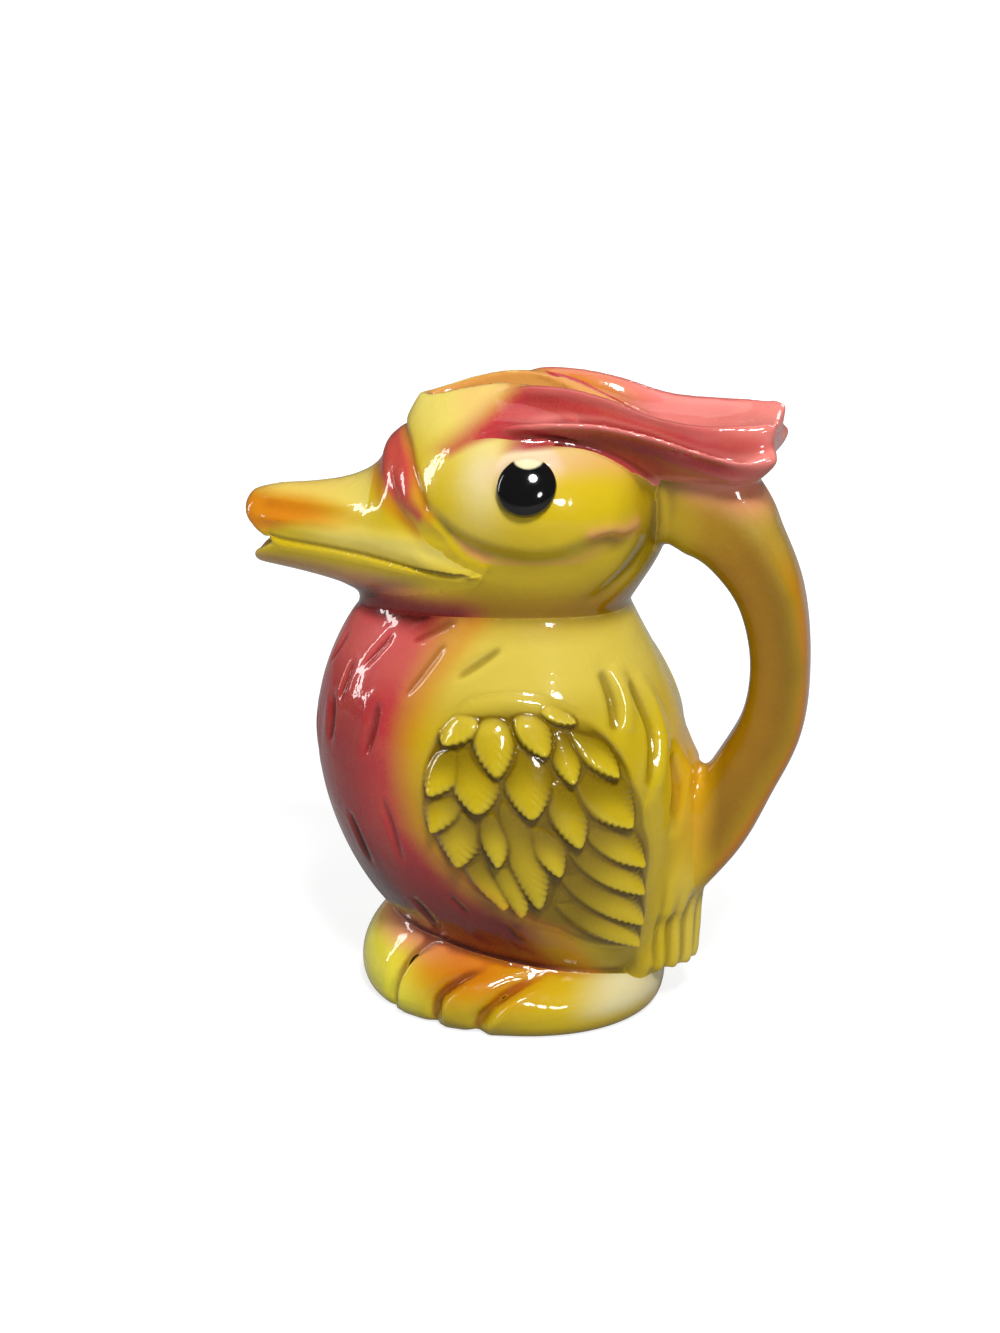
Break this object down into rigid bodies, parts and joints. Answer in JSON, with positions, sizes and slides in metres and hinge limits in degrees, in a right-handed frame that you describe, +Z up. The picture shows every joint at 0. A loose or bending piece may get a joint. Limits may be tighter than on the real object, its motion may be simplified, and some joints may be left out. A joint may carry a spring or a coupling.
{
  "type": "toucan pitcher",
  "caption": "Hollow glazed earthenware pitcher shaped as a perched bird: open head as filling mouth, open bill as spout, loop handle from the swept-back crest to the tail.",
  "frame": {"origin": "middle of the bounding box on the ground, under the vessel", "axes": "-X towards the bill, +X towards the handle, +Z up, XZ the mirror plane"},
  "size_m": [0.1725, 0.0996, 0.1981],
  "materials": {
    "yellow_glaze": "clear gloss glaze over airbrushed yellow",
    "orange_glaze": "clear gloss glaze over airbrushed orange",
    "rose_glaze": "clear gloss glaze over airbrushed rose",
    "gold_glaze": "clear gloss glaze over airbrushed gold",
    "black_glaze": "black gloss glaze"
  },
  "bodies": {
    "root": {"base_plinth": "orange_glaze", "body_shell": "yellow_glaze", "wing_left": "yellow_glaze", "wing_right": "yellow_glaze", "tail": "yellow_glaze", "head_shell": "yellow_glaze", "upper_bill": "orange_glaze", "lower_bill": "yellow_glaze", "crest": "rose_glaze", "eye_left": "black_glaze", "eye_right": "black_glaze", "handle": "gold_glaze"}
  },
  "joints": []
}
